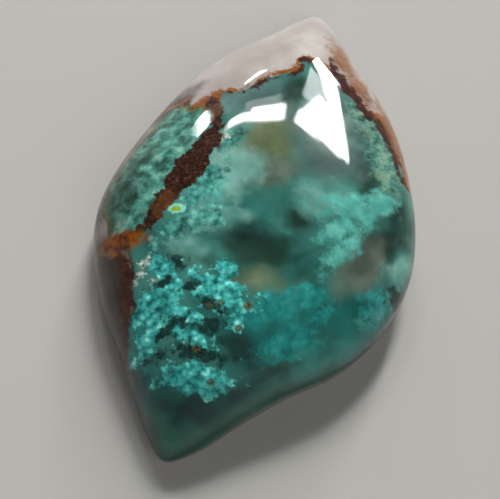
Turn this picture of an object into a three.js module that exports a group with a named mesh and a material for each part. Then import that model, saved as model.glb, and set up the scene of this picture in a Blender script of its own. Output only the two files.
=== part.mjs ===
// A freeform cabochon of chrysocolla in chalcedony: one polished stone, domed on its face, sawn flat behind.
// Millimetres, +Z up. The long axis lies along Y, and the origin is the middle of the flat back's box.
import * as THREE from "three";
import { mergeVertices } from "three/addons/utils/BufferGeometryUtils.js";

// Driving dimensions.
const STONE_HEIGHT = 7.3;
const GIRDLE_HEIGHT = 1.5; // the widest level, above the back
const BEVEL_INSET = 0.7; // how far the ground bevel brings the back's edge in from the girdle
const BEVEL_TOP_INSET = 0.175; // what is left of that where the bevel meets the side
const BEVEL_HEIGHT = 0.6;
const CROWN = new THREE.Vector2(1.1, 0.8); // where the dome is highest
const OVAL_HALF_WIDTH = 13.2; // the oval that the levels round off to, towards the crown
const OVAL_HALF_LENGTH = 18.8;
const OVAL_SHARE = 0.98; // how much of that oval a level takes on at the crown
const OVAL_POWER = 0.4; // a lower power rounds the corners off nearer to the edge
const DOME_FLATNESS = 3.1; // a higher power holds the top flatter
const SHOULDER_ROUNDING = 0.42; // a lower power stands the sides up more
const FLANK_ROUNDING = 0.8; // the same for the far flank, which is ground to a longer slope
const FLANK_DIRECTION = THREE.MathUtils.degToRad(110); // where that flank faces, from +X

// How finely the surface is faceted.
const SIDES = 120;
const DOME_LEVELS = 22;
const MERGE_DISTANCE = 1e-4; // points closer than this are one vertex

// The leaf outline, anticlockwise from the near tip, seen from above. Each row is x, y.
const OUTLINE_POINTS = [
  [-1.4, -20.0],
  [0.6, -18.7],
  [3.0, -15.9],
  [5.6, -13.1],
  [8.6, -10.4],
  [10.75, -6.9],
  [11.7, -2.6],
  [10.9, 1.3],
  [8.7, 5.2],
  [6.4, 9.2],
  [3.9, 13.3],
  [1.9, 16.8],
  [0.3, 19.1],
  [-0.9, 19.9],
  [-2.1, 19.0],
  [-4.2, 16.3],
  [-7.0, 13.4],
  [-9.2, 9.2],
  [-11.3, 3.0],
  [-12.1, -1.9],
  [-11.6, -5.2],
  [-9.3, -10.0],
  [-6.2, -14.2],
  [-4.2, -17.1],
  [-2.6, -19.1],
];

/** The outline as evenly spaced points, each seen from the crown. */
function outlineFromCrown() {
  const corners = OUTLINE_POINTS.map(([x, y]) => new THREE.Vector3(x, y, 0));
  const curve = new THREE.CatmullRomCurve3(corners, true, "centripetal");
  const points = curve.getSpacedPoints(SIDES).slice(0, SIDES);
  return points.map((p) => new THREE.Vector2(p.x - CROWN.x, p.y - CROWN.y));
}

/** Half the profile, from the back's middle to the crown. Share is the way out from crown to girdle. */
function profile() {
  const rows = [
    { share: 0, inset: 0, height: 0 },
    { share: 1, inset: BEVEL_INSET, height: 0 },
    { share: 1, inset: BEVEL_TOP_INSET, height: BEVEL_HEIGHT },
    { share: 1, inset: 0, height: GIRDLE_HEIGHT },
  ];
  // Levels crowd together at the shoulder, where the dome bends most.
  for (let i = 1; i < DOME_LEVELS; i += 1) {
    rows.push({ share: Math.cos((i / DOME_LEVELS) * (Math.PI / 2)), inset: 0 });
  }
  rows.push({ share: 0, inset: 0, height: STONE_HEIGHT });
  return rows;
}

/** How round the shoulder is in one direction: the common rounding, eased into the far flank's. */
function roundingTowards(along) {
  const facing = along.x * Math.cos(FLANK_DIRECTION) + along.y * Math.sin(FLANK_DIRECTION);
  const flank = THREE.MathUtils.smoothstep(facing, 0, 1);
  return THREE.MathUtils.lerp(SHOULDER_ROUNDING, FLANK_ROUNDING, flank);
}

/** A point of the dome. The outline rounds off to an oval near the crown. Height falls as the share rises. */
function domePoint(edge, row) {
  const reach = edge.length();
  const along = edge.clone().divideScalar(reach);
  const oval =
    (OVAL_HALF_WIDTH * OVAL_HALF_LENGTH) /
    Math.hypot(OVAL_HALF_LENGTH * along.x, OVAL_HALF_WIDTH * along.y);
  const ovalShare = OVAL_SHARE * (1 - row.share) ** OVAL_POWER;
  const distance = row.share * THREE.MathUtils.lerp(reach, oval, ovalShare) - row.inset;
  const rise = (1 - row.share ** DOME_FLATNESS) ** roundingTowards(along);
  const height = row.height ?? GIRDLE_HEIGHT + (STONE_HEIGHT - GIRDLE_HEIGHT) * rise;
  return new THREE.Vector3(CROWN.x + along.x * distance, CROWN.y + along.y * distance, height);
}

/** A lathe of the profile gives the net of faces. Each ring is then pulled out to the leaf outline. */
function stoneGeometry() {
  const edges = outlineFromCrown();
  const rows = profile();
  const turned = rows.map((row, i) => new THREE.Vector2(row.share, i));
  const lathe = new THREE.LatheGeometry(turned, SIDES);
  const position = lathe.getAttribute("position");
  for (let side = 0; side <= SIDES; side += 1) {
    for (let level = 0; level < rows.length; level += 1) {
      const point = domePoint(edges[side % SIDES], rows[level]);
      position.setXYZ(side * rows.length + level, point.x, point.y, point.z);
    }
  }
  lathe.deleteAttribute("normal");
  lathe.deleteAttribute("uv");
  const closed = mergeVertices(lathe, MERGE_DISTANCE);
  closed.computeBoundingBox();
  const middle = closed.boundingBox.getCenter(new THREE.Vector3());
  closed.translate(-middle.x, -middle.y, 0);
  closed.computeVertexNormals();
  return closed;
}

/** The whole stone in its one finish: polished blue-green chrysocolla. */
function makeStone() {
  const finish = new THREE.MeshStandardMaterial({ color: 0x3f8f86, roughness: 0.08, metalness: 0 });
  const stone = new THREE.Mesh(stoneGeometry(), finish);
  stone.name = "cabochon";
  return stone;
}

const cabochon = new THREE.Group();
cabochon.name = "chrysocolla_cabochon";
cabochon.add(makeStone());

export default cabochon;
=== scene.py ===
"""A polished freeform cabochon: blue-green chrysocolla sealed in clear chalcedony, on a pale chalcedony base.

The stone is one piece, drawn as two closed surfaces of one form. The outer is the polish, a thin layer of
clear chalcedony. The inner is what that layer seals in, each mineral at the depth where it lies. Every size
in the dataclasses is in millimetres and every angle in degrees. Meshes are made in metres.
"""

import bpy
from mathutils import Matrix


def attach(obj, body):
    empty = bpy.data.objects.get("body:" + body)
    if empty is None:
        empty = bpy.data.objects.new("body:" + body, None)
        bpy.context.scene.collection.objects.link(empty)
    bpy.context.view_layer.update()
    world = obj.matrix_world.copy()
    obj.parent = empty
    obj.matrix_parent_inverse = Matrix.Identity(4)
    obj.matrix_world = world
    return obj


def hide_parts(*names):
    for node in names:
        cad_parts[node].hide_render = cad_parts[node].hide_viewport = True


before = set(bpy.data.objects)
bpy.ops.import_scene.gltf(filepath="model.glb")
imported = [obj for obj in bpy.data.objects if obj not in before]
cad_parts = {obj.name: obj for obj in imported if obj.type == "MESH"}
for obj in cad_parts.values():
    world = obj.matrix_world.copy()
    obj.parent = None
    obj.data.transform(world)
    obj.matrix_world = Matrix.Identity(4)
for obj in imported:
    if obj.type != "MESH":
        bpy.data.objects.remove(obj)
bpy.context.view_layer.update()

import logging
import math
from dataclasses import dataclass
from enum import Enum, IntEnum

import bpy
import numpy as np
from mathutils import Quaternion, Vector
from numpy.typing import NDArray

Array = NDArray[np.float64]
Point = tuple[float, float]
Socket = bpy.types.NodeSocket

MM = 0.001
BODY = "root"
NODE = "cabochon"
SHARP_ANGLE = 35.0  # degrees, past which an edge between faces shows as a corner
SOFT_EDGE = 0.5  # mm, the edge from which a mineral's pattern is too soft to need fine noise
TEAR_REACH = 2.0  # how many times its raggedness a mineral's edge may wander, either way
EVERYWHERE = 9.0  # mm, the field of the mineral that lies under all the others
FAR_AWAY = 99.0  # mm, farther than any place on the stone
MIDDLE_TONE = 0.5  # the tone that a mineral's middle colour has
TINY = 1e-12  # the least length that a vector is divided by
log = logging.getLogger("chrysocolla")


# ---------------------------------------------------------------------------------------------------- helpers


def linear(hex_colour: str) -> tuple[float, float, float, float]:
    """Turns an sRGB hex colour into a linear one.

    Args:
        hex_colour: the colour, such as "#3fa69b".

    Returns:
        Red, green, blue and an alpha of 1.
    """
    channels = [int(hex_colour[i : i + 2], 16) / 255 for i in (1, 3, 5)]
    curved = [c / 12.92 if c <= 0.04045 else ((c + 0.055) / 1.055) ** 2.4 for c in channels]
    return (curved[0], curved[1], curved[2], 1.0)


def smoothstep(value: Array, low: float, high: float) -> Array:
    """Eases a value from 0 at low to 1 at high, with no corner at either end."""
    t = np.clip((value - low) / (high - low), 0.0, 1.0)
    return t * t * (3.0 - 2.0 * t)


def add_node(
    tree: bpy.types.NodeTree,
    kind: str,
    settings: dict[str, object] | None = None,
    inputs: dict[str | int, object] | None = None,
) -> bpy.types.Node:
    """Adds a node with its settings and links.

    Args:
        tree: the material's or world's node tree.
        kind: the node's type name.
        settings: properties by name; "stops" is a colour ramp's list of (place, colour).
        inputs: input sockets by name or number; a socket is linked, and anything else is set as the value.

    Returns:
        The new node.
    """
    node = tree.nodes.new(kind)
    for name, value in (settings or {}).items():
        if name != "stops":
            setattr(node, name, value)
            continue
        while len(node.color_ramp.elements) < len(value):
            node.color_ramp.elements.new(1.0)
        for element, (place, colour) in zip(node.color_ramp.elements, value):
            element.position = place
            element.color = colour
    for name, value in (inputs or {}).items():
        if isinstance(value, Socket):
            tree.links.new(value, node.inputs[name])
        else:
            node.inputs[name].default_value = value
    return node


def new_material(name: str) -> tuple[bpy.types.Material, bpy.types.NodeTree]:
    """Makes an empty node material.

    Args:
        name: the finish's name.

    Returns:
        The material and its node tree.
    """
    material = bpy.data.materials.new(name)
    material.use_nodes = True
    material.node_tree.nodes.clear()
    return material, material.node_tree


# ---------------------------------------------------------------------------------------------- natural noise


@dataclass(frozen=True)
class NaturalNoise:
    """Random lumps that come out the same on every run."""

    seed: int = 7
    seed_step: int = 31
    primes: tuple[int, int, int] = (73856093, 19349663, 83492791)
    mixers: tuple[int, int, int] = (2654435761, 2246822519, 3266489917)
    low_bits: int = 0xFFFFFFFF
    kept_bits: int = 0xFFFFFF
    octave_shift: float = 17.3

    def scrambled(self, cell: NDArray[np.int64], turn: int) -> Array:
        """Turns whole-number cells into values from 0 to 1.

        Args:
            cell: whole numbers, three to a row.
            turn: which of several unrelated values is wanted.

        Returns:
            One value a row, the same for the same cell: its numbers are multiplied by large primes, mixed by
            exclusive or, shifted on to themselves between two more products, and the low bits are kept.
        """
        start, second, third = self.mixers
        mixed = np.bitwise_xor.reduce(cell * np.array(self.primes, np.int64), axis=-1)
        mixed = mixed ^ ((self.seed + self.seed_step * turn) * start)
        mixed = (mixed ^ (mixed >> 15)) * second & self.low_bits
        mixed = (mixed ^ (mixed >> 13)) * third & self.low_bits
        return ((mixed ^ (mixed >> 16)) & self.kept_bits) / float(self.kept_bits)

    def waves(self, points: Array, size: float, octaves: int = 3) -> Array:
        """Makes soft random swells: values at a lattice's corners, eased between them, in halving sizes.

        Args:
            points: places in mm, three to a row.
            size: the largest swell, in mm.
            octaves: how many sizes are added, each half as large and half as strong.

        Returns:
            One value a point, from about -1 to 1.
        """
        total = np.zeros(points.shape[:-1])
        strength = 1.0
        for octave in range(octaves):
            scaled = points / (size / 2**octave) + self.octave_shift * octave
            cell = np.floor(scaled).astype(np.int64)
            t = scaled - cell
            t = t * t * (3.0 - 2.0 * t)
            for corner in np.ndindex(2, 2, 2):
                weight = np.prod(np.where(corner, t, 1.0 - t), axis=-1)
                total += strength * weight * (2.0 * self.scrambled(cell + corner, octave) - 1.0)
            strength *= 0.5
        return total / (2.0 - 2.0 * strength)


# ------------------------------------------------------------------------------------------ the stone's form


@dataclass(frozen=True)
class LeafDome:
    """The form of the stone: a leaf outline, a flat back with a ground bevel, and a dome with a flat top."""

    height: float = 7.3
    girdle: float = 1.5
    bevel_inset: float = 0.7
    bevel_top_inset: float = 0.175
    bevel_height: float = 0.6
    crown: Point = (1.1, 0.8)
    oval: Point = (13.2, 18.8)
    oval_share: float = 0.98
    oval_power: float = 0.4
    flatness: float = 3.1
    rounding: float = 0.42
    flank_rounding: float = 0.8
    flank_direction: float = 110.0
    curve_steps: int = 64
    outline: tuple[Point, ...] = (
        (-1.4, -20.0), (0.6, -18.7), (3.0, -15.9), (5.6, -13.1), (8.6, -10.4),
        (10.75, -6.9), (11.7, -2.6), (10.9, 1.3), (8.7, 5.2), (6.4, 9.2),
        (3.9, 13.3), (1.9, 16.8), (0.3, 19.1), (-0.9, 19.9), (-2.1, 19.0),
        (-4.2, 16.3), (-7.0, 13.4), (-9.2, 9.2), (-11.3, 3.0), (-12.1, -1.9),
        (-11.6, -5.2), (-9.3, -10.0), (-6.2, -14.2), (-4.2, -17.1), (-2.6, -19.1),
    )

    def girdle_line(self, sides: int) -> Array:
        """Spaces points evenly along the outline.

        Args:
            sides: how many points.

        Returns:
            Points (x, y) on a closed curve through the outline's points. It is a Catmull-Rom curve: each
            stretch is the cubic whose slopes at its ends come from the neighbouring points, with knots spaced
            by the square root of the distance between points.
        """
        here = np.array(self.outline)
        before, after, beyond = (np.roll(here, shift, axis=0) for shift in (1, -1, -2))
        gap_before, gap, gap_after = (
            np.sqrt(np.linalg.norm(b - a, axis=1, keepdims=True))
            for a, b in ((before, here), (here, after), (after, beyond))
        )
        slope_here = (
            (here - before) / gap_before - (after - before) / (gap_before + gap) + (after - here) / gap
        ) * gap
        slope_after = (
            (after - here) / gap - (beyond - here) / (gap + gap_after) + (beyond - after) / gap_after
        ) * gap
        t = np.linspace(0.0, 1.0, self.curve_steps, endpoint=False)[:, None, None]
        cubic = (
            here
            + t * slope_here
            + t**2 * (3.0 * (after - here) - 2.0 * slope_here - slope_after)
            + t**3 * (2.0 * (here - after) + slope_here + slope_after)
        )
        curve = cubic.transpose(1, 0, 2).reshape(-1, 2)
        closed = np.vstack([curve, curve[:1]])
        walked = np.concatenate([[0.0], np.cumsum(np.linalg.norm(np.diff(closed, axis=0), axis=1))])
        wanted = np.linspace(0.0, walked[-1], sides, endpoint=False)
        return np.stack([np.interp(wanted, walked, closed[:, axis]) for axis in (0, 1)], axis=1)

    def dome(self, sides: int, levels: int) -> Array:
        """Shapes the domed face, from the girdle up to just short of the crown.

        Args:
            sides: points round the stone.
            levels: rings from the girdle to the crown.

        Returns:
            Points (levels, sides, 3). A ring's share of the way out is the cosine of an even angle, so rings
            crowd at the shoulder. Its reach is that share of the outline's, drawn towards an oval's by a
            power of what the share leaves. Its height is (1 - share^flatness)^rounding of the dome's.
        """
        away = self.girdle_line(sides) - self.crown
        reach = np.linalg.norm(away, axis=1)
        along = away / reach[:, None]
        half_wide, half_long = self.oval
        oval = half_wide * half_long / np.hypot(half_long * along[:, 0], half_wide * along[:, 1])
        share = np.cos(np.linspace(0.0, 0.5 * np.pi, levels, endpoint=False))[:, None]
        towards_oval = self.oval_share * (1.0 - share) ** self.oval_power
        distance = share * (reach * (1.0 - towards_oval) + oval * towards_oval)
        flank = math.radians(self.flank_direction)
        facing = smoothstep(along @ np.array([math.cos(flank), math.sin(flank)]), 0.0, 1.0)
        power = self.rounding + (self.flank_rounding - self.rounding) * facing
        height = self.girdle + (self.height - self.girdle) * (1.0 - share**self.flatness) ** power
        plan = self.crown + distance[..., None] * along
        return np.concatenate([plan, height[..., None]], axis=2)

    def stone(self, sides: int, levels: int) -> Array:
        """Shapes the whole face: from the back's edge, over the bevel and the girdle, up the dome.

        Args:
            sides: points round the stone.
            levels: rings on the dome.

        Returns:
            Points (levels + 2, sides, 3).
        """
        dome = self.dome(sides, levels)
        outward = dome[0, :, :2] - self.crown
        outward /= np.linalg.norm(outward, axis=1, keepdims=True)
        bevel = ((self.bevel_inset, 0.0), (self.bevel_top_inset, self.bevel_height))
        rings = [
            np.column_stack([dome[0, :, :2] - outward * inset, np.full(sides, height)])
            for inset, height in bevel
        ]
        return np.concatenate([np.stack(rings), dome])

    def middle(self, face: Array) -> Array:
        """Finds the middle of a face's box, seen from above, which the frame has at its origin."""
        across = face.reshape(-1, 3)[:, :2]
        return np.array([*(across.min(axis=0) + across.max(axis=0)) / 2.0, 0.0])


def outward_normals(net: Array) -> Array:
    """Works out the unit normals of a net of points.

    Args:
        net: points (levels, sides, 3), anticlockwise round each level, and levels going up.

    Returns:
        Normals of the same shape: the cross product of the step round and the step up.
    """
    around = np.roll(net, -1, axis=1) - np.roll(net, 1, axis=1)
    up = np.gradient(net, axis=0)
    normal = np.cross(around, up)
    return normal / np.maximum(np.linalg.norm(normal, axis=2, keepdims=True), TINY)


def closed_mesh(name: str, net: Array, foot: Array, top: Array, finishes: list[int]) -> bpy.types.Object:
    """Makes a closed object from a net of points.

    Args:
        name: the object's name.
        net: points (levels, sides, 3) in mm.
        foot: the point that closes the lowest level.
        top: the point that closes the highest level.
        finishes: the material number of the foot's fan, of each level's faces and of the top's fan.

    Returns:
        The object. Its vertices are the net's, level by level, then the foot and the top.
    """
    levels, sides, _ = net.shape
    index = np.arange(levels * sides).reshape(levels, sides)
    ahead = np.roll(index, -1, axis=1)
    quads = np.stack([index[:-1], ahead[:-1], ahead[1:], index[1:]], axis=-1).reshape(-1, 4)
    foot_fan = np.stack([np.full(sides, levels * sides), ahead[0], index[0]], axis=-1)
    top_fan = np.stack([index[-1], ahead[-1], np.full(sides, levels * sides + 1)], axis=-1)
    points = np.concatenate([net.reshape(-1, 3), [foot, top]]) * MM
    mesh = bpy.data.meshes.new(name)
    mesh.from_pydata(points.tolist(), [], foot_fan.tolist() + quads.tolist() + top_fan.tolist())
    mesh.polygons.foreach_set("material_index", np.repeat(finishes, sides).astype(np.int32))
    mesh.shade_smooth()
    mesh.set_sharp_from_angle(angle=math.radians(SHARP_ANGLE))
    piece = bpy.data.objects.new(name, mesh)
    bpy.context.scene.collection.objects.link(piece)
    return piece


# ------------------------------------------------------------------------------------ where the minerals lie


@dataclass(frozen=True)
class Patch:
    """An oval place, seen from above: its middle, its half length and half width, and its turn."""

    x: float
    y: float
    half_long: float
    half_wide: float
    turn: float = 0.0

    def inside(self, x: Array, y: Array) -> Array:
        """Measures each point from the oval's edge.

        Args:
            x: places across.
            y: places along.

        Returns:
            How far inside the oval each point lies, in mm, and below 0 outside it: the oval's half width
            times what the point's oval radius leaves of 1.
        """
        c, s = math.cos(math.radians(self.turn)), math.sin(math.radians(self.turn))
        dx, dy = x - self.x, y - self.y
        radius = np.hypot((dx * c + dy * s) / self.half_long, (dy * c - dx * s) / self.half_wide)
        return (1.0 - radius) * self.half_wide


@dataclass(frozen=True)
class Band:
    """A band along a line, seen from above: rows of x, y and half width."""

    rows: tuple[tuple[float, float, float], ...]

    def nearest(self, x: Array, y: Array) -> tuple[Array, Array]:
        """Measures each point from the line.

        Args:
            x: places across.
            y: places along.

        Returns:
            How far inside the band each point lies, in mm, and its distance from the line, above 0 to the
            right of the line's way. Each stretch gives the distance to its closest point, and the least one
            counts.
        """
        within = np.full(x.shape, -FAR_AWAY)
        signed = np.full(x.shape, FAR_AWAY)
        for (x0, y0, w0), (x1, y1, w1) in zip(self.rows, self.rows[1:]):
            step_x, step_y = x1 - x0, y1 - y0
            t = np.clip(((x - x0) * step_x + (y - y0) * step_y) / (step_x**2 + step_y**2), 0.0, 1.0)
            off_x, off_y = x - x0 - t * step_x, y - y0 - t * step_y
            distance = np.hypot(off_x, off_y)
            side = np.sign(off_x * step_y - off_y * step_x)
            signed = np.where(distance < np.abs(signed), side * distance, signed)
            within = np.maximum(within, w0 + t * (w1 - w0) - distance)
        return within, signed

    def inside(self, x: Array, y: Array) -> Array:
        """Measures how far inside the band each point lies, in mm, and below 0 outside it."""
        return self.nearest(x, y)[0]


class Deposit(Enum):
    """The minerals, in the order in which one lies over another, with what each gives the eye."""

    DEEP_TEAL = "deep_teal"  # stained chalcedony: the dull teal ground that shows where nothing else does
    CLEAR_TEAL = "clear_teal"  # cleaner stain: the rich teal of the near right side
    DEEP_BLUE = "deep_blue"  # the strongest stain: a blue-black edge by the near tip
    SHADE = "shade"  # painted shade at the near tip and near right wall, turned from the window; elsewhere dark clear stone over a dark bottom
    PAINTED_EDGE_GLOW = "edge_glow"  # painted glow: a lighter green along the near edges, standing in for light through the thin stone
    POOL = "pool"  # deep clear stone: smoky green-black pools
    OLIVE = "olive"  # clay in the stone: yellow-grey columns
    MURK = "murk"  # the same, browner
    SLATE = "slate"  # milky stone over dark: blue-grey smoke
    PALE_CLOUD = "pale_cloud"  # thin milky wisps
    CLOUD = "cloud"  # milky chrysocolla, out of focus: pale sea-green clouds
    BRIGHT_CLOUD = "bright_cloud"  # nearer chrysocolla: bright aqua clouds with a torn edge
    FLECK = "fleck"  # chrysocolla seen through the clear stain: saturated teal flakes
    SPECKLE = "speckle"  # chrysocolla with iron dust: greenish speckle under the far right edge
    FRINGE = "fringe"  # fine crust beside the vein
    CRUST = "crust"  # botryoidal chrysocolla just under the polish: bright round aqua grains
    CRUST_GAP = "crust_gap"  # dark cracks between its grains
    PIT = "pit"  # small brown-centred pits in the crust
    GRAIN = "grain"  # loose pale quartz grains at the vein's foot
    MOSS = "moss"  # the mossy blue-green shoulder left of the vein
    MOSS_SHADE = "moss_shade"  # painted shade: the moss darkened towards its left flank
    MOSS_RIM = "moss_rim"  # its olive rim over the base
    BASE = "base"  # milky chalcedony: the lilac-white base
    BASE_BROWN_AND_SHADE = "base_dusk"  # brown stain and painted shade: the base's left wall darkened, partly brown stone, partly shade painted in
    BASE_STAIN = "base_stain"  # tan iron stain in the base's right wall
    RUST = "rust"  # orange rust along the seam
    IRON = "iron"  # dark iron oxide beside it
    VEIN = "vein"  # the thick brown vein across the left shoulder
    VEIN_RUST = "vein_rust"  # lighter rusty lengths of it
    AMBER = "amber"  # amber iron stain where the vein meets the left wall
    SPOT_HALO = "spot_halo"  # a pale aqua ring beside the vein
    SPOT = "spot"  # its lime-yellow middle


@dataclass(frozen=True)
class Recipe:
    """How one mineral looks.

    Colours run from dark to light and follow a mottling of the size given, more sharply as the contrast
    rises. The edge is soft over its own width and wanders by the raggedness, in swells of the ragged size.
    Grain is the size of round grains in it, where it has them, and relief is how far they stand up. Real
    grains are 0.1 to 0.3 mm across, too fine to show, so they are drawn at 0.5 mm.
    """

    depth: float
    colours: tuple[str, ...]
    mottle: float
    ragged: float
    ragged_size: float
    edge: float
    strength: float = 1.0
    contrast: float = 1.0
    grain: float = 0.0
    relief: float = 0.0

    @property
    def blurred(self) -> bool:
        """Says whether its pattern is soft to the eye, as milky stone over it makes it."""
        return self.edge >= SOFT_EDGE


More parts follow.
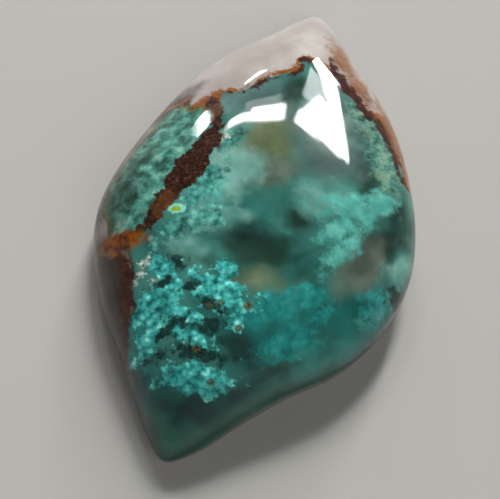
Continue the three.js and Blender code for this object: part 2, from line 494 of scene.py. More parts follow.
@dataclass(frozen=True)
class MineralMap:
    """Where each mineral lies in the stone, seen from above.

    The seam's heights are rows of x, y and height, and the pale base shows below it. A height that is below
    the back keeps the base away. What ends in "shift" only keeps one pattern of noise from repeating another.
    """

    seam_heights: tuple[tuple[float, float, float], ...] = (
        (0.5, 12.5, 6.2), (-1.0, 10.7, 6.6), (-3.4, 8.4, 6.6), (-5.6, 6.4, 6.3),
        (2.8, 11.6, 6.1), (4.0, 10.2, 6.3), (5.5, 9.2, 6.2), (7.1, 8.3, 5.8),
        (8.3, 6.6, 5.9), (9.4, 4.4, 5.6), (10.6, 2.0, 4.0), (11.5, -1.0, 0.6), (11.6, -4.0, -1.0),
        (-6.9, 6.7, 5.9), (-8.1, 6.6, 4.9), (-9.1, 5.9, 4.1), (-10.0, 2.1, 4.2), (-11.1, -3.0, 3.9),
        (-10.2, -5.6, 4.7), (-7.6, -8.0, 5.7), (-6.7, -10.6, 5.3), (-6.1, -13.4, 4.0), (-5.5, -14.9, 2.9),
        (-4.2, -17.0, 0.2), (0.0, -19.0, -1.0), (5.0, -13.0, -1.0), (10.5, -7.0, -1.0),
        (0.0, 0.0, 4.5), (3.0, -7.0, 2.5),
    )
    seam_reach: float = 0.7603  # how far round each place its height holds
    vein: Band = Band(
        (
            (-5.7, 6.6, 0.35), (-5.0, 5.4, 0.45), (-4.6, 4.4, 0.5), (-4.7, 3.4, 0.7),
            (-5.0, 2.2, 0.85), (-5.4, 0.9, 1.1), (-5.8, -0.2, 1.15), (-6.2, -1.5, 0.85),
            (-6.5, -2.7, 0.78), (-6.8, -3.9, 0.6), (-7.3, -5.1, 0.42), (-8.2, -5.9, 0.3),
            (-10.5, -6.6, 0.3),
        )
    )
    places: tuple[tuple[Deposit, tuple[Patch | Band, ...]], ...] = (
        (Deposit.CLEAR_TEAL, (
            Patch(4.6, -9.6, 4.6, 2.5, 34), Patch(8.4, -8.2, 3.6, 2.2, 48),
            Patch(1.4, -16.6, 2.2, 0.7, 40), Patch(-1.6, -19.3, 1.2, 0.6, 60),
        )),
        (Deposit.DEEP_BLUE, (Patch(-4.2, -15.9, 2.4, 0.8, -58), Patch(-5.6, -13.0, 2.0, 0.6, -70))),
        # painted glow: light through the thin near edges, painted as a lighter green
        (Deposit.PAINTED_EDGE_GLOW, (
            Band((
                (-4.2, -17.2, 0.3), (-2.6, -19.2, 0.8), (-1.2, -20.0, 0.9), (0.6, -18.9, 0.9),
                (3.0, -16.1, 1.0), (5.7, -13.3, 0.9), (8.8, -10.4, 0.5), (10.9, -6.9, 0.3), (11.8, -2.6, 0.1),
            )),
        )),
        (Deposit.FRINGE, (
            Patch(-4.3, -1.4, 2.8, 0.9, 72), Patch(-5.2, -5.0, 1.7, 0.9, 60), Patch(-3.4, 3.0, 1.3, 0.6, 50),
            Patch(-3.4, -3.6, 1.2, 0.8, 20),
        )),
        # painted shade over the moss's left flank
        (Deposit.MOSS_SHADE, (Patch(-10.5, -3.8, 3.4, 1.5, 76), Patch(-9.4, 0.6, 1.6, 0.5, 60))),
        # painted shade at the near tip and near right wall; dark clear stone in the other patches
        (Deposit.SHADE, (
            Patch(-0.8, -17.4, 2.8, 1.2, 8), Patch(-1.3, -19.0, 3.0, 1.4, 50),
            Patch(4.2, -13.8, 3.2, 0.6, 44), Patch(6.4, 7.0, 3.2, 0.9, -64), Patch(2.1, -12.4, 1.8, 0.8, -40),
        )),
        (Deposit.POOL, (
            Patch(1.2, -4.9, 3.0, 1.7, -8), Patch(3.0, -1.7, 0.9, 0.6, -20), Patch(-3.3, -6.7, 1.6, 0.45, -6),
            Patch(10.2, -0.4, 2.7, 1.3, 80), Patch(-3.6, 2.7, 1.1, 0.5, 50), Patch(0.0, 8.8, 2.0, 0.8, 88),
            Patch(6.7, 3.4, 1.8, 0.6, -70),
        )),
        (Deposit.OLIVE, (Patch(-0.4, 3.9, 3.2, 1.8, 80), Patch(1.9, -7.4, 1.9, 0.9, 5))),
        (Deposit.MURK, (Patch(8.7, -3.9, 2.3, 1.5, 75), Patch(0.4, 1.4, 1.5, 1.0, 20))),
        (Deposit.SLATE, (
            Patch(3.2, 4.6, 2.8, 1.8, -35), Patch(5.0, 4.8, 2.0, 1.0, -55), Patch(5.6, 7.4, 2.0, 1.0, -50),
        )),
        (Deposit.PALE_CLOUD, (
            Patch(-2.9, 8.0, 2.3, 1.7, 22), Patch(2.4, 9.2, 1.3, 1.9, 10), Patch(4.6, 6.6, 1.4, 1.0, -30),
        )),
        (Deposit.FLECK, (
            Patch(3.2, -9.2, 2.0, 1.1, 24), Patch(5.4, -10.9, 2.2, 0.9, 34), Patch(6.8, -8.4, 1.4, 0.6, 40),
            Patch(10.1, -6.0, 1.4, 0.8, 66), Patch(-5.2, -13.4, 1.8, 0.8, -66),
            Patch(5.4, -7.4, 1.6, 0.7, 20),
        )),
        (Deposit.CLOUD, (
            Patch(-2.4, 0.2, 2.6, 1.5, 70), Patch(-2.9, -3.7, 1.8, 1.1, 30), Patch(-3.9, -5.8, 1.1, 0.8, 20),
            Patch(5.0, 0.6, 1.6, 1.0, 10), Patch(11.2, -2.4, 0.9, 0.6, 80), Patch(-4.2, 1.6, 1.5, 0.6, 70),
            Patch(-2.0, 1.3, 1.4, 1.0, 30),
        )),
        (Deposit.BRIGHT_CLOUD, (
            Patch(6.7, 0.3, 2.4, 1.0, 12), Patch(8.6, 1.2, 1.3, 1.0, 30), Patch(6.0, -1.9, 1.2, 0.9, 40),
            Patch(7.3, -2.9, 0.9, 0.7, 60), Patch(-3.4, -1.2, 1.1, 0.8, 60), Patch(8.0, -0.3, 1.1, 0.6, 80),
            Patch(6.6, -3.9, 1.0, 0.5, 70), Patch(10.4, -5.9, 1.1, 0.5, 66),
        )),
        (Deposit.SPECKLE, (Patch(8.0, 4.8, 2.6, 1.1, -62), Patch(5.7, 8.0, 1.8, 0.8, -40))),
        (Deposit.CRUST, (
            Patch(-0.6, -9.1, 2.6, 1.4, -8), Patch(-4.5, -10.7, 2.4, 1.6, 78), Patch(-0.5, -7.2, 0.9, 0.8),
            Patch(-5.2, -7.8, 0.8, 0.6, 10), Patch(-2.4, -12.0, 2.4, 1.2, -20), Patch(0.9, -10.6, 0.9, 0.7),
            Patch(-0.4, -15.1, 2.8, 1.15, 14), Patch(-4.5, -13.2, 1.6, 1.0, 66),
        )),
        (Deposit.CRUST_GAP, (
            Patch(-0.3, -11.5, 0.9, 0.6, 10), Patch(-0.9, -13.5, 2.1, 0.4, 6),
            Patch(-2.7, -9.1, 0.7, 0.35, 30), Patch(-0.8, -10.0, 1.1, 0.4, -20),
            Patch(-3.5, -14.3, 1.0, 0.3, 20), Patch(-3.6, -12.6, 0.9, 0.3, 60),
            Patch(-4.6, -9.0, 0.7, 0.25, 40), Patch(-1.6, -11.9, 2.4, 0.28, -8),
            Patch(-3.9, -7.4, 0.8, 0.4, -20), Patch(11.2, -4.8, 0.8, 0.5, 40),
        )),
        (Deposit.PIT, (
            Patch(1.6, -9.3, 0.32, 0.3), Patch(1.5, -11.0, 0.28, 0.26), Patch(-1.0, -10.1, 0.24, 0.22),
            Patch(-0.9, -13.4, 0.3, 0.26), Patch(0.8, -15.0, 0.26, 0.24), Patch(-0.3, -9.7, 0.3, 0.18, 30),
        )),
        (Deposit.GRAIN, (
            Patch(-6.5, -7.7, 0.55, 0.35, 40), Patch(-6.6, -8.8, 0.75, 0.3, 70), Patch(-5.6, -9.0, 0.3, 0.25),
            Patch(-3.9, 3.2, 0.5, 0.3, 60),
        )),
        # the left wall's brown stain, darkened further with painted shade
        (Deposit.BASE_BROWN_AND_SHADE, (
            Patch(-8.4, -10.4, 5.6, 2.0, -58), Patch(-11.6, -1.0, 7.0, 1.6, 84),
            Patch(-9.0, 6.2, 2.6, 1.2, 62),
        )),
        (Deposit.IRON, (
            Band((
                (-8.8, -7.4, 0.3), (-7.7, -8.6, 0.5), (-7.1, -10.6, 0.55), (-6.5, -13.2, 0.5),
                (-5.9, -15.0, 0.2),
            )),
            Band((
                (1.7, 13.2, 0.2), (3.0, 11.2, 0.4), (4.8, 9.4, 0.42), (6.8, 8.1, 0.3), (8.5, 6.0, 0.22),
                (9.6, 4.0, 0.1),
            )),
        )),
        (Deposit.BASE_STAIN, (
            Patch(2.4, 13.9, 2.0, 0.8, -58), Patch(4.4, 11.2, 1.8, 0.7, -58), Patch(8.3, 7.4, 3.8, 0.9, -60),
        )),
        (Deposit.VEIN_RUST, (Patch(-6.6, -3.0, 1.2, 0.55, 72), Patch(-5.0, 5.8, 1.2, 0.5, 60))),
        (Deposit.AMBER, (Patch(-8.9, -6.4, 1.7, 0.85, 14),)),
        (Deposit.SPOT_HALO, (Patch(-5.4, -3.3, 0.6, 0.42, 10),)),
        (Deposit.SPOT, (Patch(-5.45, -3.35, 0.36, 0.22, 12),)),
    )
    wander: float = 0.45  # how far soft noise shifts every place, so that no oval shows
    wander_size: float = 2.6
    wander_shifts: Point = (0.0, 40.0)
    calm_share: float = 0.3  # how much of that the seam and the vein take
    least_slope: float = 0.3  # flatter faces count as this steep, so that the seam's bands stay narrow
    swell: float = 0.34  # how far the iron along the seam thickens and thins
    swell_size: float = 1.7
    swell_shift: float = 80.0
    rust: Point = (0.1, 0.2)  # how far below the seam the rust's middle lies, and its half width
    iron: Point = (-0.2, 0.1)  # the same for the dark iron
    iron_end: float = -15.5  # where along the stone both stop
    thinned: float = 0.6  # how much narrower both are on the left wall
    thinned_across: Point = (-7.5, -9.0)  # where across the stone that begins and is whole
    thinned_along: Point = (6.0, 3.5)
    vein_margin: float = 0.1  # how far the rust may stand out of the vein
    moss_along: Point = (-7.0, 9.0)
    rim_width: float = 0.5
    # how far above the seam the left wall's brown and painted shade reach
    brown_and_shade_overlap: float = 0.2
    # the height below which the near walls get the painted glow
    painted_glow_height: float = 3.6
    tear_shift: float = 9.0
    tone_shift: float = 23.0
    tone_spread: float = 0.35
    tone_octaves: int = 4
    noise: NaturalNoise = NaturalNoise()

    def seam(self, x: Array, y: Array) -> Array:
        """Finds the height of the seam where the pale base meets the coloured layer.

        Args:
            x: places across.
            y: places along.

        Returns:
            The mean of the heights listed, each weighted by the inverse square of its squared distance plus
            the squared reach.
        """
        weights = np.zeros(x.shape)
        total = np.zeros(x.shape)
        for place_x, place_y, height in self.seam_heights:
            near = 1.0 / ((x - place_x) ** 2 + (y - place_y) ** 2 + self.seam_reach**2) ** 2
            weights += near
            total += near * height
        return total / weights

    def along_seam(self, points: Array, below: Array) -> tuple[Array, Array]:
        """Lays the two iron oxides along the seam.

        Args:
            points: places on the face.
            below: how far below the seam each lies.

        Returns:
            The fields of the rust and of the dark iron: each one's half width, swelled by soft noise and
            thinned on the left wall, less the distance from its middle.
        """
        swell = self.swell * self.noise.waves(points + self.swell_shift, self.swell_size)
        across = smoothstep(-points[..., 0], -self.thinned_across[0], -self.thinned_across[1])
        along = smoothstep(-points[..., 1], -self.thinned_along[0], -self.thinned_along[1])
        thinner = self.thinned * across * along
        rust = self.rust[1] + swell - thinner - np.abs(below - self.rust[0])
        iron = self.iron[1] - swell - thinner - np.abs(below - self.iron[0])
        return rust, iron

    def fields(self, points: Array, normals: Array) -> dict[Deposit, Array]:
        """Measures every place on the stone's face from every mineral's edge.

        Args:
            points: places on the face.
            normals: the face's normals there.

        Returns:
            For each mineral, how far inside it the place lies, in mm, and below 0 outside it. What the ovals
            and bands give is cut by the seam, the vein and the ends that a mineral keeps to. Edges that are
            soft to the eye are torn by noise here, and the others in the material, which is finer than the
            mesh.
        """
        wander = [
            self.wander * self.noise.waves(points + shift, self.wander_size) for shift in self.wander_shifts
        ]
        x, y, height = points[..., 0] + wander[0], points[..., 1] + wander[1], points[..., 2]
        made = {
            deposit: np.max([place.inside(x, y) for place in places], axis=0)
            for deposit, places in self.places
        }
        calm_x = points[..., 0] + self.calm_share * wander[0]
        calm_y = points[..., 1] + self.calm_share * wander[1]
        slope = np.maximum(np.hypot(normals[..., 0], normals[..., 1]), self.least_slope)
        below = (self.seam(calm_x, calm_y) - height) / slope
        in_vein, beside_vein = self.vein.nearest(calm_x, calm_y)
        near_end, far_end = self.moss_along
        moss_ends = np.minimum(far_end - points[..., 1], points[..., 1] - near_end)
        rust, thin_iron = self.along_seam(points, below)
        before_end = points[..., 1] - self.iron_end
        made[Deposit.DEEP_TEAL] = np.full(x.shape, EVERYWHERE)
        # the painted glow stays on the low near walls
        made[Deposit.PAINTED_EDGE_GLOW] = np.minimum(made[Deposit.PAINTED_EDGE_GLOW], self.painted_glow_height - height)
        made[Deposit.MOSS] = np.minimum(beside_vein, moss_ends)
        # the painted shade stays on the moss
        made[Deposit.MOSS_SHADE] = np.minimum(made[Deposit.MOSS_SHADE], made[Deposit.MOSS])
        made[Deposit.MOSS_RIM] = np.minimum(made[Deposit.MOSS], below + self.rim_width)
        made[Deposit.BASE] = below
        # the left wall's brown and painted shade
        made[Deposit.BASE_BROWN_AND_SHADE] = np.minimum(made[Deposit.BASE_BROWN_AND_SHADE], below + self.brown_and_shade_overlap)
        made[Deposit.BASE_STAIN] = np.minimum(made[Deposit.BASE_STAIN], below)
        made[Deposit.RUST] = np.minimum(rust, before_end)
        made[Deposit.IRON] = np.minimum(np.maximum(made[Deposit.IRON], thin_iron), before_end)
        made[Deposit.VEIN] = in_vein
        made[Deposit.VEIN_RUST] = np.minimum(made[Deposit.VEIN_RUST], in_vein + self.vein_margin)
        for turn, deposit in enumerate(Deposit):
            recipe = RECIPES[deposit]
            if recipe.blurred:
                tear = self.noise.waves(points + self.tear_shift * turn, recipe.ragged_size)
                made[deposit] = made[deposit] + TEAR_REACH * recipe.ragged * tear
        return made

    def tones(self, points: Array) -> dict[Deposit, Array]:
        """Mottles the minerals that lie deep.

        Args:
            points: places on the face.

        Returns:
            For each mineral whose pattern is soft, how light it is there, about the middle tone.
        """
        soft = [deposit for deposit in Deposit if RECIPES[deposit].blurred]
        made = {}
        for turn, deposit in enumerate(soft, start=1):
            places = points + self.tone_shift * turn
            mottling = self.noise.waves(places, RECIPES[deposit].mottle, self.tone_octaves)
            made[deposit] = MIDDLE_TONE + self.tone_spread * mottling
        return made


RECIPES: dict[Deposit, Recipe] = {
    Deposit.DEEP_TEAL: Recipe(1.0, ("#1f4844", "#2d605a", "#3f7069", "#5b8279"), 3.4, 0.0, 1.0, 0.5),
    Deposit.CLEAR_TEAL: Recipe(
        1.0, ("#0e403e", "#15514e", "#1d6461", "#2c7871"), 2.0, 0.5, 2.0, 1.0, 0.9, 1.2
    ),
    Deposit.DEEP_BLUE: Recipe(0.9, ("#08282e", "#0d3f44", "#13565a"), 1.6, 0.4, 1.6, 0.7, 0.9),
    # near-blacks: painted shade and dark stone
    Deposit.SHADE: Recipe(1.2, ("#101417", "#192726", "#223d35"), 2.0, 0.45, 1.6, 0.9, 0.9),
    # painted glow: lighter greens standing in for light through the near edges
    Deposit.PAINTED_EDGE_GLOW: Recipe(0.6, ("#103a32", "#1b4c41", "#316553"), 2.0, 0.3, 2.0, 0.6, 0.9),
    Deposit.POOL: Recipe(1.4, ("#111e19", "#1b2d26", "#263b31"), 2.2, 0.5, 1.6, 0.9, 0.95),
    Deposit.OLIVE: Recipe(1.2, ("#4c503a", "#63664b", "#76775d"), 2.2, 0.4, 1.6, 1.0, 0.97),
    Deposit.MURK: Recipe(1.2, ("#484840", "#5d5c53", "#6f6f64"), 1.8, 0.4, 1.6, 0.9, 0.9),
    Deposit.SLATE: Recipe(1.1, ("#455251", "#5c6765", "#757c7a"), 2.0, 0.4, 1.6, 1.0, 0.9),
    Deposit.PALE_CLOUD: Recipe(1.0, ("#3a504f", "#586f6d", "#879f9a"), 1.8, 0.6, 1.6, 0.9, 0.9),
    Deposit.CLOUD: Recipe(0.9, ("#4d7671", "#759b93", "#a3bbb3"), 1.6, 0.55, 1.2, 0.8, 0.9, 1.1),
    Deposit.BRIGHT_CLOUD: Recipe(0.7, ("#3b837d", "#579c94", "#7db5ab"), 1.0, 0.7, 0.9, 0.45, 0.95),
    Deposit.FLECK: Recipe(0.9, ("#145a5a", "#1f7775", "#33928e"), 0.8, 0.9, 1.0, 0.4, 0.85, 1.3),
    Deposit.SPECKLE: Recipe(0.4, ("#22393a", "#43685f", "#648d7f", "#958f70"), 0.55, 0.6, 0.7, 0.4, 1.0, 1.3),
    Deposit.FRINGE: Recipe(
        0.5, ("#17403f", "#387872", "#5b9a90", "#7fb5a9"), 0.7, 0.8, 0.9, 0.25, 0.9, 1.6, 0.5, 0.6
    ),
    Deposit.CRUST: Recipe(
        0.45, ("#174a48", "#318986", "#55b3ae", "#ace4dd"), 0.6, 0.85, 1.3, 0.16, 1.0, 1.5, 0.5, 0.9
    ),
    Deposit.CRUST_GAP: Recipe(0.5, ("#0a1d1b", "#142f2b", "#224640"), 0.5, 0.5, 0.7, 0.2),
    Deposit.PIT: Recipe(0.4, ("#1e190d", "#4a4124", "#7b744e"), 0.2, 0.08, 0.3, 0.1, 0.85, 1.6),
    Deposit.GRAIN: Recipe(0.35, ("#36403a", "#8c978e", "#ccd2ca"), 0.25, 0.4, 0.4, 0.08, 0.9, 1.7),
    Deposit.MOSS: Recipe(
        0.3, ("#1a332d", "#2f574e", "#477b70", "#63958a", "#8ca897"), 1.1, 0.3, 0.6, 0.12, 1.0, 1.5, 0.0, 0.7
    ),
    # painted shade: darker greens for the moss's left flank
    Deposit.MOSS_SHADE: Recipe(0.3, ("#101f17", "#1f352a", "#385543"), 0.7, 0.4, 1.0, 0.45, 0.72, 1.5),
    Deposit.MOSS_RIM: Recipe(0.3, ("#2f3418", "#535226", "#77692e"), 0.9, 0.6, 1.2, 0.2, 0.75),
    Deposit.BASE: Recipe(0.25, ("#8c7f7b", "#9d8f8d", "#b1a6a3"), 4.0, 0.1, 0.5, 0.12),
    # dark browns: the wall's stain together with painted shade
    Deposit.BASE_BROWN_AND_SHADE: Recipe(0.25, ("#110903", "#231607", "#42301c"), 2.2, 0.4, 1.4, 0.7, 0.95),
    Deposit.BASE_STAIN: Recipe(0.2, ("#46220f", "#764826", "#906a52"), 1.2, 0.5, 0.8, 0.45, 0.95),
    Deposit.RUST: Recipe(0.2, ("#42200b", "#7a4217", "#a3682d"), 0.6, 0.4, 0.6, 0.12),
    Deposit.IRON: Recipe(0.2, ("#1c0e0a", "#3a1a0f", "#562815"), 0.5, 0.4, 0.6, 0.12),
    Deposit.VEIN: Recipe(
        0.2, ("#150906", "#28130d", "#3a1f15", "#5e4232"), 0.3, 0.5, 0.9, 0.07, 1.0, 1.3, 0.0, 0.15
    ),
    Deposit.VEIN_RUST: Recipe(0.2, ("#2a160a", "#553018", "#764c28"), 0.4, 0.35, 0.5, 0.15, 0.85),
    Deposit.AMBER: Recipe(
        0.3, ("#240d02", "#562403", "#8a4804", "#5e5210"), 1.1, 0.45, 0.9, 0.4, 0.95, 1.3
    ),
    Deposit.SPOT_HALO: Recipe(0.2, ("#5fb0a0", "#8fd0bd"), 0.3, 0.1, 0.3, 0.08),
    Deposit.SPOT: Recipe(0.2, ("#6d7a14", "#a3a82a"), 0.2, 0.06, 0.2, 0.05),
}


# ------------------------------------------------------------------------------------------------- finishes


@dataclass(frozen=True)
class PolishedChalcedony:
    """Clear chalcedony, cut to a dome, tumbled smooth and polished with a fine oxide."""

    refraction: float = 1.54
    roughness: float = 0.06
    tint: str = "#f3faf7"
    absorbed: str = "#9fd3c4"
    absorption: float = 110.0  # a metre

    def material(self) -> bpy.types.Material:
        """Makes the material.

        Returns:
            Glass by plain transmission that lets lamps reach what it seals in, with a light absorption.
        """
        # It gives the eye the stone's wet depth: bright window highlights whose edges are a touch soft,
        # minerals that shift under the curve of the dome, and a faint sea-green where it is thick.
        material, tree = new_material("polished_clear_chalcedony")
        glass = add_node(tree, "ShaderNodeBsdfPrincipled", None, {
            "Base Color": linear(self.tint),
            "Roughness": self.roughness,
            "IOR": self.refraction,
            "Transmission Weight": 1.0,
        })
        passing = add_node(tree, "ShaderNodeBsdfTransparent", None, {"Color": linear(self.tint)})
        path = add_node(tree, "ShaderNodeLightPath")
        surface = add_node(tree, "ShaderNodeMixShader", None, {
            0: path.outputs["Is Shadow Ray"], 1: glass.outputs[0], 2: passing.outputs[0],
        })
        depth = add_node(tree, "ShaderNodeVolumeAbsorption", None, {
            "Color": linear(self.absorbed), "Density": self.absorption,
        })
        add_node(tree, "ShaderNodeOutputMaterial", None, {0: surface.outputs[0], 1: depth.outputs[0]})
        return material


@dataclass(frozen=True)
class SawnChalcedony:
    """The back: chalcedony as the diamond saw and the flat lap left it.

    Real saw marks are about 0.1 mm apart, too fine to show, so they are drawn at 0.47 mm.
    """

    colours: tuple[str, ...] = ("#6f7f78", "#94978f", "#b3aaa3")
    first_stop: float = 0.2
    stop_step: float = 0.3
    cloud: float = 6.0
    cloud_detail: float = 6.0
    mark_spacing: float = 0.4665
    mark_distortion: float = 1.5
    mark_detail: float = 2.0
    mark_depth: float = 0.01
    mark_strength: float = 0.4
    roughness: float = 0.55

    def material(self) -> bpy.types.Material:
        """Makes the material.

        Returns:
            Clouded colour under fine parallel saw marks. A diagonal wave of scale 1 turns ten radians to a
            metre along each axis, so on a flat face a stripe takes 2 pi / (10 sqrt 2) metres.
        """
        # It gives the eye a greyed, matt and slightly scratched back beside the polish.
        material, tree = new_material("sawn_chalcedony")
        place = add_node(tree, "ShaderNodeTexCoord").outputs["Object"]
        cloud = add_node(tree, "ShaderNodeTexNoise", None, {
            "Vector": place, "Scale": 1.0 / (self.cloud * MM), "Detail": self.cloud_detail,
        })
        stops = [(self.first_stop + self.stop_step * i, linear(c)) for i, c in enumerate(self.colours)]
        colour = add_node(tree, "ShaderNodeValToRGB", {"stops": stops}, {0: cloud.outputs[0]})
        stripe = 2.0 * math.pi / (10.0 * math.sqrt(2.0))
        marks = add_node(tree, "ShaderNodeTexWave", {"bands_direction": "DIAGONAL"}, {
            "Vector": place,
            "Scale": stripe / (self.mark_spacing * MM),
            "Distortion": self.mark_distortion,
            "Detail": self.mark_detail,
        })
        relief = add_node(tree, "ShaderNodeBump", None, {
            "Strength": self.mark_strength,
            "Distance": self.mark_depth * MM,
            "Height": marks.outputs["Fac"],
        })
        shader = add_node(tree, "ShaderNodeBsdfPrincipled", None, {
            "Base Color": colour.outputs[0], "Roughness": self.roughness, "Normal": relief.outputs[0],
        })
        add_node(tree, "ShaderNodeOutputMaterial", None, {0: shader.outputs[0]})
        return material


@dataclass(frozen=True)
class SealedMinerals:
    """Chrysocolla, iron oxide and milky chalcedony as they grew into one another, under the clear layer."""

    roughness: float = 0.6
    scatter: float = 0.25
    scatter_reach: float = 0.5
    relief: float = 0.14
    relief_strength: float = 0.8
    grain_share: float = 0.3
    grain_rounding: float = 0.9
    # painted highlight and shade on round grains: lighter middles for their lit tops, darker gaps partly for
    # shade, partly for darker matter between them
    grain_middle: float = 0.1  # the distance from a grain's middle, in grains, up to which it is lightest
    grain_gap: float = 0.75  # the distance from which it is darkest
    lightest: float = 0.75
    darkest: float = 0.2
    fine_detail: float = 5.0
    coarse_detail: float = 3.0
    tone_roughness: float = 0.6
    tear_roughness: float = 0.65

    def grains(self, tree: bpy.types.NodeTree, place: Socket, deposit: Deposit) -> Socket | None:
        """Makes the round grains of a mineral that has them, with painted light and shade: lighter middles,
        darker edges.

        Args:
            tree: the material's node tree.
            place: the texture coordinate.
            deposit: the mineral.

        Returns:
            A value that is high in the middle of each grain and low between them, or nothing.
        """
        recipe = RECIPES[deposit]
        if recipe.grain == 0.0:
            return None
        # painted highlight on each grain's rounded top and painted shade, with darker matter, between grains
        cells = add_node(tree, "ShaderNodeTexVoronoi", None, {
            "Vector": place, "Scale": 1.0 / (recipe.grain * MM), "Randomness": 1.0,
        })
        rounded = add_node(tree, "ShaderNodeMapRange", None, {
            "Value": cells.outputs["Distance"],
            "From Min": self.grain_middle,
            "From Max": self.grain_gap,
            "To Min": self.lightest,
            "To Max": self.darkest,
        })
        return rounded.outputs[0]

    def tone(
        self, tree: bpy.types.NodeTree, place: Socket, deposit: Deposit, grains: Socket | None
    ) -> Socket:
        """Works out how light a mineral is at each place, before its colours.

        Args:
            tree: the material's node tree.
            place: the texture coordinate.
            deposit: the mineral.
            grains: its round grains, where it has them.

        Returns:
            A value about 0.5: the mottling stored in the mesh for a soft pattern, or fine noise with any
            grains.
        """
        recipe = RECIPES[deposit]
        if recipe.blurred:
            name = f"{deposit.value}_tone"
            return add_node(tree, "ShaderNodeAttribute", {"attribute_name": name}).outputs["Fac"]
        mottle = add_node(tree, "ShaderNodeTexNoise", None, {
            "Vector": place,
            "Scale": 1.0 / (recipe.mottle * MM),
            "Detail": self.fine_detail,
            "Roughness": self.tone_roughness,
        })
        if grains is None:
            return mottle.outputs[0]
        both = add_node(tree, "ShaderNodeMix", None, {0: self.grain_share, 2: mottle.outputs[0], 3: grains})
        return both.outputs[0]

    def cover(
        self, tree: bpy.types.NodeTree, place: Socket, deposit: Deposit, grains: Socket | None
    ) -> Socket:
        """Works out how much a mineral hides what is under it.

        Args:
            tree: the material's node tree.
            place: the texture coordinate.
            deposit: the mineral.
            grains: its round grains, where it has them.

        Returns:
            A value from 0 to the mineral's strength, rising where its field passes 0. A field whose edge is
            sharp to the eye is torn by fine noise first, or by coarser noise and its grains, which round its
            edge off.
        """
        recipe = RECIPES[deposit]
        field = add_node(tree, "ShaderNodeAttribute", {"attribute_name": deposit.value}).outputs["Fac"]
        if not recipe.blurred:
            rounding = self.grain_rounding * recipe.grain
            reach = TEAR_REACH * recipe.ragged
            tear = add_node(tree, "ShaderNodeTexNoise", None, {
                "Vector": place,
                "Scale": 1.0 / (recipe.ragged_size * MM),
                "Detail": self.fine_detail if grains is None else self.coarse_detail,
                "Roughness": self.tear_roughness,
            })
            shift = add_node(tree, "ShaderNodeMath", {"operation": "MULTIPLY_ADD"}, {
                0: tear.outputs[0], 1: 2.0 * reach, 2: -reach - 0.5 * rounding,
            })
            torn = add_node(tree, "ShaderNodeMath", {"operation": "ADD"}, {0: field, 1: shift.outputs[0]})
            field = torn.outputs[0]
            if grains is not None:
                rounded = add_node(tree, "ShaderNodeMath", {"operation": "MULTIPLY_ADD"}, {
                    0: grains, 1: rounding, 2: field,
                })
                field = rounded.outputs[0]
        cover = add_node(tree, "ShaderNodeMapRange", {"interpolation_type": "SMOOTHSTEP"}, {
            "Value": field, "From Min": -recipe.edge, "From Max": recipe.edge, "To Max": recipe.strength,
        })
        return cover.outputs[0]

    def stops(self, recipe: Recipe) -> list[tuple[float, tuple[float, float, float, float]]]:
        """Spreads a mineral's colours over its tones.

        Args:
            recipe: how the mineral looks.

        Returns:
            A place and a colour for each, evenly spread about the middle tone. They span half of all tones
            at a contrast of 1, and less as it rises.
        """
        span = 0.5 / recipe.contrast
        step = span / (len(recipe.colours) - 1)
        first = MIDDLE_TONE - 0.5 * span
        return [(first + step * i, linear(shade)) for i, shade in enumerate(recipe.colours)]

    def material(self) -> bpy.types.Material:
        """Makes the material.

        Returns:
            Each mineral's colour laid over the last, in their order, with the grains of the nearer ones
            standing up a little. It has no shine of its own, since the chalcedony round it bends light as it
            does.
        """
        # It gives the eye what is seen through the polish: soft clouds and dark pools lying deep, and torn,
        # grainy crust and iron lying near, with the slight inner glow of milky stone.
        material, tree = new_material("chrysocolla_iron_oxide_and_chalcedony")
        place = add_node(tree, "ShaderNodeTexCoord").outputs["Object"]
        colour = None
        height = 0.0
        for deposit, recipe in RECIPES.items():
            grains = self.grains(tree, place, deposit)
            tone = self.tone(tree, place, deposit, grains)
            own = add_node(tree, "ShaderNodeValToRGB", {"stops": self.stops(recipe)}, {0: tone}).outputs[0]
            if colour is None:
                colour = own
                continue
            cover = self.cover(tree, place, deposit, grains)
            laid = add_node(tree, "ShaderNodeMix", {"data_type": "RGBA"}, {0: cover, 6: colour, 7: own})
            colour = laid.outputs[2]
            if recipe.relief > 0.0:
                raised = add_node(tree, "ShaderNodeMath", {"operation": "MULTIPLY"}, {
                    0: tone, 1: recipe.relief,
                })
                level = add_node(tree, "ShaderNodeMix", None, {0: cover, 2: height, 3: raised.outputs[0]})
                height = level.outputs[0]
        relief = add_node(tree, "ShaderNodeBump", None, {
            "Strength": self.relief_strength, "Distance": self.relief * MM, "Height": height,
        })
        shader = add_node(tree, "ShaderNodeBsdfPrincipled", None, {
            "Base Color": colour,
            "Roughness": self.roughness,
            "Specular IOR Level": 0.0,
            "Subsurface Weight": self.scatter,
            "Subsurface Radius": (1.0, 1.0, 1.0),
            "Subsurface Scale": self.scatter_reach * MM,
            "Normal": relief.outputs[0],
        })
        add_node(tree, "ShaderNodeOutputMaterial", None, {0: shader.outputs[0]})
        return material


@dataclass(frozen=True)
class PalePaper:
    """Heavy uncoated paper, rolled flat."""

    colour: str = "#aeaba6"
    roughness: float = 0.8

    def material(self) -> bpy.types.Material:
        """Makes the material.

        Returns:
            One even colour, matt enough to show only the stone's shadow.
        """
        # It gives the eye a plain pale ground with nothing on it to look at.
        material, tree = new_material("pale_paper")
        shader = add_node(tree, "ShaderNodeBsdfPrincipled", None, {
            "Base Color": linear(self.colour), "Roughness": self.roughness,
        })
        add_node(tree, "ShaderNodeOutputMaterial", None, {0: shader.outputs[0]})
        return material


# ---------------------------------------------------------------------------------------------- the stone


class FaceFinish(IntEnum):
    """The finishes of the outer surface, by their material number."""

    POLISHED = 0
    SAWN = 1


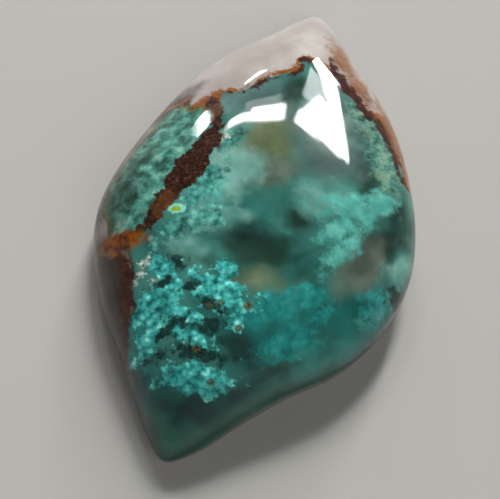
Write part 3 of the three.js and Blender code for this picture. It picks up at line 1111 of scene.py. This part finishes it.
@dataclass
class Cabochon:
    """The stone: its clear polished face and back, and the minerals sealed under the face."""

    form: LeafDome
    minerals: MineralMap
    sides: int = 400
    levels: int = 236
    wave: float = 0.006
    wave_size: float = 5.0
    wave_shift: float = 5.0
    wave_octaves: int = 2
    still_rings: int = 3  # the back's edge, the bevel's top and the girdle, which the polishing leaves true
    easing: Point = (-2.2, 1.0)  # the field over which the depth goes from what is under a mineral to its own
    cloudy: float = 0.08  # how much the depth wavers, as a share
    cloudy_size: float = 3.0
    wall_share: float = 0.08  # how much of its depth is left where the face turns down to the girdle
    level_from: Point = (0.25, 0.95)  # how level the face is where that begins and where the depth is whole
    least_cover: float = 0.06
    back_cover: float = 0.25

    def __post_init__(self) -> None:
        """Works out the face that both surfaces share."""
        self.face = self.form.stone(self.sides, self.levels)
        self.normals = outward_normals(self.face)
        self.middle = self.form.middle(self.face)

    def polished_face(self) -> bpy.types.Object:
        """Builds the clear outer surface.

        Returns:
            The object: the form, moved along its normals by the faint swells that hand polishing leaves.
        """
        places = self.face + self.wave_shift
        swell = self.wave * self.minerals.noise.waves(places, self.wave_size, self.wave_octaves)
        net = self.face + self.normals * swell[..., None]
        net[: self.still_rings] = self.face[: self.still_rings]
        foot = np.array([*self.form.crown, 0.0])
        top = np.array([*self.form.crown, self.form.height])
        finishes = [FaceFinish.SAWN] * 2 + [FaceFinish.POLISHED] * (net.shape[0] - 1)
        stone = closed_mesh(
            "polished_face", net - self.middle, foot - self.middle, top - self.middle, finishes
        )
        stone.data.materials.append(PolishedChalcedony().material())
        stone.data.materials.append(SawnChalcedony().material())
        return stone

    def depths(self, fields: dict[Deposit, Array]) -> Array:
        """Works out how far under the polish the minerals lie.

        Args:
            fields: each mineral's field over the face.

        Returns:
            Depths in mm. Each mineral, in its order, draws the depth to its own as its field rises, and less
            does as the face turns down towards the girdle.
        """
        ground, *upper = Deposit
        depth = np.full(self.face.shape[:2], RECIPES[ground].depth)
        for deposit in upper:
            cover = smoothstep(fields[deposit], *self.easing)
            depth += cover * (RECIPES[deposit].depth - depth)
        wavering = self.cloudy * depth * self.minerals.noise.waves(self.face, self.cloudy_size)
        level = smoothstep(self.normals[..., 2], *self.level_from)
        share = self.wall_share + (1.0 - self.wall_share) * level
        return np.maximum((depth + wavering) * share, self.least_cover)

    def sealed_minerals(self) -> bpy.types.Object:
        """Builds the surface of the minerals under the clear layer.

        Returns:
            The object: the form moved inwards along its normals by the depth of each mineral, with every
            mineral's field as an attribute of its own.
        """
        fields = self.minerals.fields(self.face, self.normals)
        net = self.face - self.normals * self.depths(fields)[..., None]
        net[0, :, 2] = self.back_cover
        net[..., 2] = np.maximum(net[..., 2], self.back_cover)
        foot = np.array([*self.form.crown, self.back_cover])
        top = net[-1].mean(axis=0)
        finishes = [0] * (net.shape[0] + 1)
        body = closed_mesh(
            "sealed_minerals", net - self.middle, foot - self.middle, top - self.middle, finishes
        )
        measured = {deposit.value: field for deposit, field in fields.items()}
        tones = self.minerals.tones(self.face)
        measured.update({f"{deposit.value}_tone": tone for deposit, tone in tones.items()})
        for name, values in measured.items():
            whole = np.concatenate([values.ravel(), [values[0].mean(), values[-1].mean()]])
            attribute = body.data.attributes.new(name, "FLOAT", "POINT")
            attribute.data.foreach_set("value", whole.astype(np.float32))
        body.data.materials.append(SealedMinerals().material())
        return body

    def build(self) -> None:
        """Builds both surfaces, attaches them to the body, hides the CAD node and logs their faces."""
        for piece in (self.polished_face(), self.sealed_minerals()):
            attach(piece, BODY)
            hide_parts(NODE)
            log.info("%s: %d faces", piece.name, len(piece.data.polygons))


# ---------------------------------------------------------------------------------------------- the studio


@dataclass(frozen=True)
class Pane:
    """One lit pane of the window: its sides, in units of the window's distance, and its lean."""

    left: float
    right: float
    low: float
    high: float
    radiance: float
    lean: float = 0.0


@dataclass(frozen=True)
class Studio:
    """A pale floor, a soft white surround, and a window of lit panes behind the stone."""

    floor_side: float = 1600.0
    floor_gap: float = 0.02
    surround: str = "#e4e6e8"
    side_strength: float = 0.42
    overhead_strength: float = 0.12
    overhead_from: float = 0.75  # the height, on a sphere of radius 1, where the overhead strength is reached
    window_distance: float = 420.0
    window_azimuth: float = -19.0
    panes: tuple[Pane, ...] = (
        Pane(0.215, 0.305, 0.36, 1.34, 36.0),
        Pane(0.203, 0.363, 0.369, 0.489, 36.0, 52.0),
        Pane(0.295, 0.455, 0.86, 1.41, 36.0, -21.0),
        Pane(0.42, 0.55, 1.24, 1.455, 36.0, -14.0),
        Pane(0.30, 0.46, 1.12, 1.405, 36.0, 4.0),
        Pane(0.31, 0.45, 0.56, 1.04, 8.0, -12.0),
        Pane(0.70, 1.00, 1.265, 1.50, 34.0, 7.0),
        Pane(0.90, 1.27, 1.365, 1.485, 34.0, 5.0),
        Pane(1.65, 1.73, 0.80, 1.25, 36.0, 20.0),
        Pane(0.93, 1.20, 0.585, 0.645, 15.0, 42.0),
        Pane(0.76, 1.12, 1.12, 1.30, 3.5, 12.0),
    )
    fill_azimuth: float = 45.0
    fill_elevation: float = 38.0
    fill_distance: float = 500.0
    fill_size: Point = (420.0, 300.0)
    fill_radiance: float = 1.8
    azimuth: float = 16.11
    elevation: float = 62.0
    distance: float = 105.7
    lens: float = 100.0
    nearest: float = 5.0
    looks_at: tuple[float, float, float] = (-0.34, -1.64, 0.0)

    def floor(self) -> bpy.types.Object:
        """Builds the floor.

        Returns:
            One square sheet of pale paper, a hair below the stone.
        """
        half = 0.5 * self.floor_side * MM
        level = -self.floor_gap * MM
        mesh = bpy.data.meshes.new("paper_floor")
        corners = [(-half, -half, level), (half, -half, level), (half, half, level), (-half, half, level)]
        mesh.from_pydata(corners, [], [(0, 1, 2, 3)])
        mesh.materials.append(PalePaper().material())
        sheet = bpy.data.objects.new("paper_floor", mesh)
        bpy.context.scene.collection.objects.link(sheet)
        return sheet

    def hang_lamp(
        self, name: str, size: Point, radiance: float, place: Vector, turn: Quaternion
    ) -> bpy.types.Object:
        """Hangs one flat lamp.

        Args:
            name: the lamp's name.
            size: its width and height in metres.
            radiance: how bright its face is.
            place: where its middle is, in metres.
            turn: its turn, with its lit face along its own -Z.

        Returns:
            The lamp, whose power is its radiance times its area times pi.
        """
        lamp = bpy.data.lights.new(name, "AREA")
        lamp.shape = "RECTANGLE"
        lamp.size, lamp.size_y = size
        lamp.energy = radiance * math.pi * size[0] * size[1]
        holder = bpy.data.objects.new(name, lamp)
        holder.location = place
        holder.rotation_mode = "QUATERNION"
        holder.rotation_quaternion = turn
        bpy.context.scene.collection.objects.link(holder)
        return holder

    def direction(self, azimuth: float, elevation: float) -> Vector:
        """Turns an azimuth and an elevation into the way from the stone to what looks at it.

        Args:
            azimuth: the turn round the stone, from -Y towards +X.
            elevation: the height above the floor.

        Returns:
            The way, as a vector of length 1.
        """
        turn, tilt = math.radians(azimuth), math.radians(elevation)
        return Vector((math.sin(turn) * math.cos(tilt), -math.cos(turn) * math.cos(tilt), math.sin(tilt)))

    def window(self) -> None:
        """Hangs the window's lit panes, all in one upright plane on the far side of the stone."""
        turn = math.radians(self.window_azimuth)
        ahead = Vector((-math.sin(turn), math.cos(turn), 0.0))
        leftward = Vector((-math.cos(turn), -math.sin(turn), 0.0))
        facing = (-ahead).to_track_quat("-Z", "Y")
        reach = self.window_distance * MM
        for number, pane in enumerate(self.panes, start=1):
            across = 0.5 * (pane.left + pane.right)
            up = 0.5 * (pane.low + pane.high)
            size = ((pane.right - pane.left) * reach, (pane.high - pane.low) * reach)
            place = (ahead + leftward * across + Vector((0.0, 0.0, up))) * reach
            lean = Quaternion((0.0, 0.0, 1.0), math.radians(pane.lean))
            self.hang_lamp(f"window_pane_{number}", size, pane.radiance, place, facing @ lean)

    def fill(self) -> None:
        """Hangs a broad dim lamp on the near side, screened so that it leaves no glint on the polish."""
        back = self.direction(self.fill_azimuth, self.fill_elevation)
        size = (self.fill_size[0] * MM, self.fill_size[1] * MM)
        place = back * self.fill_distance * MM
        lamp = self.hang_lamp("fill", size, self.fill_radiance, place, (-back).to_track_quat("-Z", "Y"))
        lamp.visible_glossy = False

    def surroundings(self) -> None:
        """Fills the space round the stone with a dim white that is brighter at the sides than overhead."""
        world = bpy.data.worlds.new("soft_surround")
        world.use_nodes = True
        world.node_tree.nodes.clear()
        direction = add_node(world.node_tree, "ShaderNodeTexCoord").outputs["Generated"]
        height = add_node(world.node_tree, "ShaderNodeSeparateXYZ", None, {0: direction}).outputs["Z"]
        strength = add_node(world.node_tree, "ShaderNodeMapRange", {"interpolation_type": "SMOOTHSTEP"}, {
            "Value": height,
            "From Min": 0.0,
            "From Max": self.overhead_from,
            "To Min": self.side_strength,
            "To Max": self.overhead_strength,
        })
        glow = add_node(world.node_tree, "ShaderNodeBackground", None, {
            "Color": linear(self.surround), "Strength": strength.outputs[0],
        })
        add_node(world.node_tree, "ShaderNodeOutputWorld", None, {0: glow.outputs[0]})
        bpy.context.scene.world = world

    def camera(self) -> None:
        """Sets the camera up, looking down on the stone."""
        back = self.direction(self.azimuth, self.elevation)
        eye = bpy.data.cameras.new("eye")
        eye.lens = self.lens
        eye.clip_start = self.nearest * MM
        holder = bpy.data.objects.new("eye", eye)
        holder.location = (Vector(self.looks_at) + back * self.distance) * MM
        holder.rotation_mode = "QUATERNION"
        holder.rotation_quaternion = (-back).to_track_quat("-Z", "Y")
        bpy.context.scene.collection.objects.link(holder)
        bpy.context.scene.camera = holder

    def build(self) -> None:
        """Sets up the floor, the lights and the camera."""
        self.floor()
        self.window()
        self.fill()
        self.surroundings()
        self.camera()
        bpy.context.scene.view_settings.view_transform = "Standard"
        log.info("studio: %d panes", len(self.panes))


def main() -> None:
    """Builds the studio and the stone."""
    logging.basicConfig(level=logging.INFO, format="%(name)s %(message)s")
    Studio().build()
    Cabochon(LeafDome(), MineralMap()).build()


if __name__ == "__main__":
    main()
